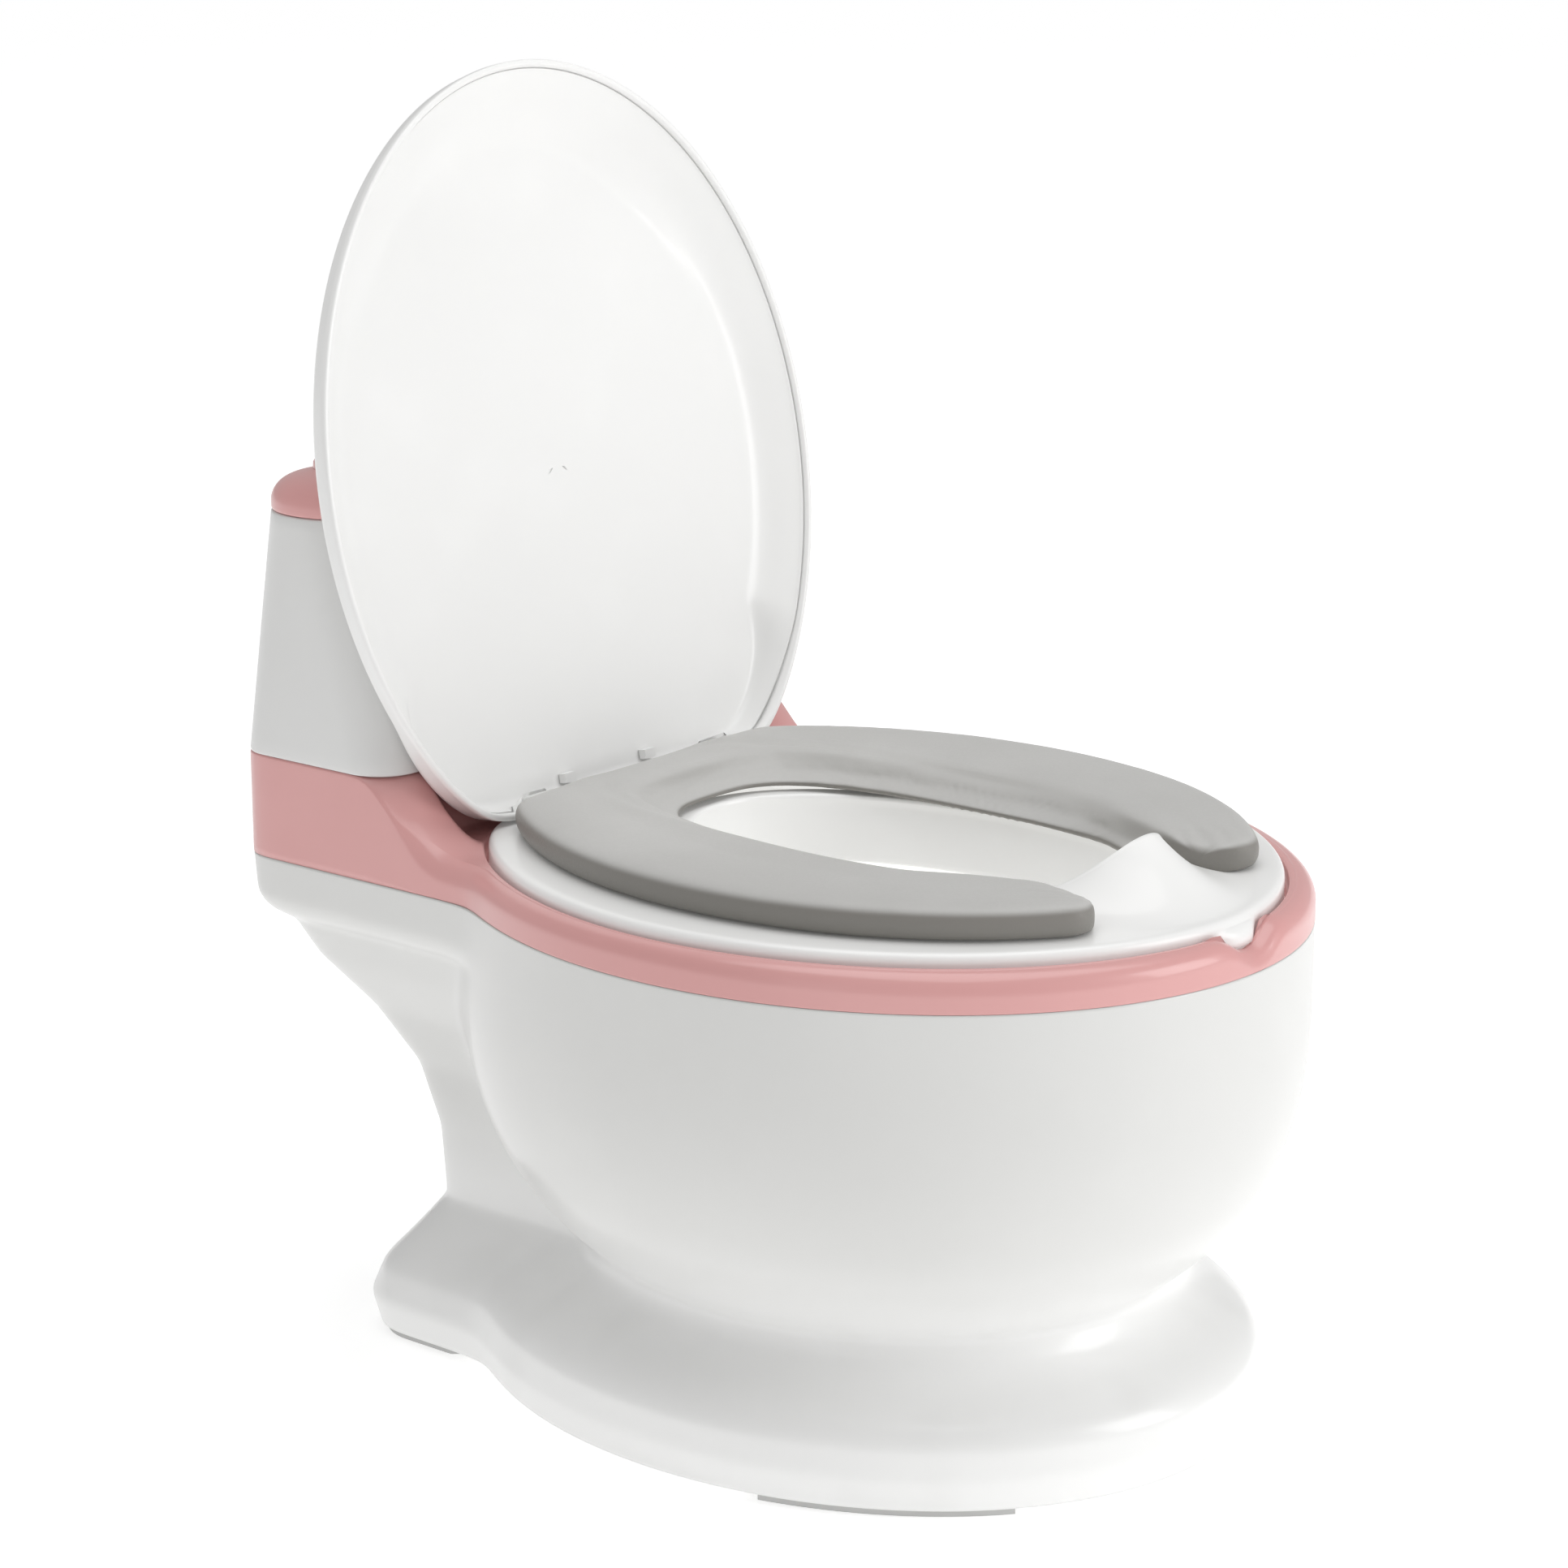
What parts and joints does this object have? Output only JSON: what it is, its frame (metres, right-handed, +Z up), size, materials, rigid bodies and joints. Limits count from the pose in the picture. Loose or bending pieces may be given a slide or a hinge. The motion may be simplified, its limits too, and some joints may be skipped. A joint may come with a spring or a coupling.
{
  "type": "potty training chair",
  "caption": "Toddler potty chair shaped like a small toilet, with lift-out pot, cushioned seat ring, hinged lid and a tank with a push button.",
  "frame": {"origin": "centre of the footprint at floor level, under the foot pads", "axes": "+Z up, -Y towards the front of the seat, +X to the sitter's left when seated facing the front"},
  "size_m": [0.2822, 0.379, 0.4756],
  "materials": {
    "white_shell": "gloss",
    "pink_shell": "gloss",
    "tank_shell": "gloss",
    "lid_shell": "gloss",
    "button_cap": "gloss",
    "cushion_skin": "soft satin",
    "inner_plastic": "satin",
    "soft_rubber": "matte",
    "steel": "brushed",
    "board": "satin",
    "dark_plastic": "matte"
  },
  "bodies": {
    "base": {"base_shell": "white_shell", "rim_deck": "pink_shell", "tank_casing": "tank_shell", "foot_pad_front_left": "soft_rubber", "foot_pad_front_right": "soft_rubber", "foot_pad_rear_left": "soft_rubber", "foot_pad_rear_right": "soft_rubber", "deck_screws": "steel", "casing_screws": "steel"},
    "pot": {"inner_pot": "inner_plastic"},
    "seat": {"seat_ring": "white_shell", "seat_cushion": "cushion_skin", "cushion_backing": "inner_plastic", "hinge_pin_left": "steel", "hinge_pin_right": "steel", "seat_bumpers": "soft_rubber"},
    "lid": {"seat_lid": "lid_shell", "lid_bumpers": "soft_rubber"},
    "tank_cover": {"tank_lid": "pink_shell", "sound_module_case": "inner_plastic", "circuit_board": "board", "button_switch": "dark_plastic", "speaker": "dark_plastic", "battery_cells": "steel", "battery_contacts": "steel", "battery_door": "inner_plastic", "battery_door_screw": "steel", "module_screws": "steel", "button_spring": "soft_rubber"},
    "button": {"flush_button": "button_cap"}
  },
  "joints": [
    {"name": "pot_lift", "type": "slide", "parent": "base", "child": "pot", "axis": [0, 0, 1], "range_m": [0, 0.14]},
    {"name": "seat_lift", "type": "slide", "parent": "pot", "child": "seat", "axis": [0, 0, 1], "range_m": [0, 0.08]},
    {"name": "lid_hinge", "type": "hinge", "parent": "seat", "child": "lid", "pos_m": [0, 0.0895, 0.2065], "axis": [1, 0, 0], "range_deg": [0, 98.5]},
    {"name": "tank_lid_lift", "type": "slide", "parent": "base", "child": "tank_cover", "axis": [0, 0.3746, 0.9272], "range_m": [0, 0.06]},
    {"name": "flush_button_press", "type": "slide", "parent": "tank_cover", "child": "button", "axis": [0, 0, -1], "range_m": [0, 0.0025], "stiffness_N_per_m": 300, "springref_m": -0.003, "deforming": ["button_spring"]}
  ]
}
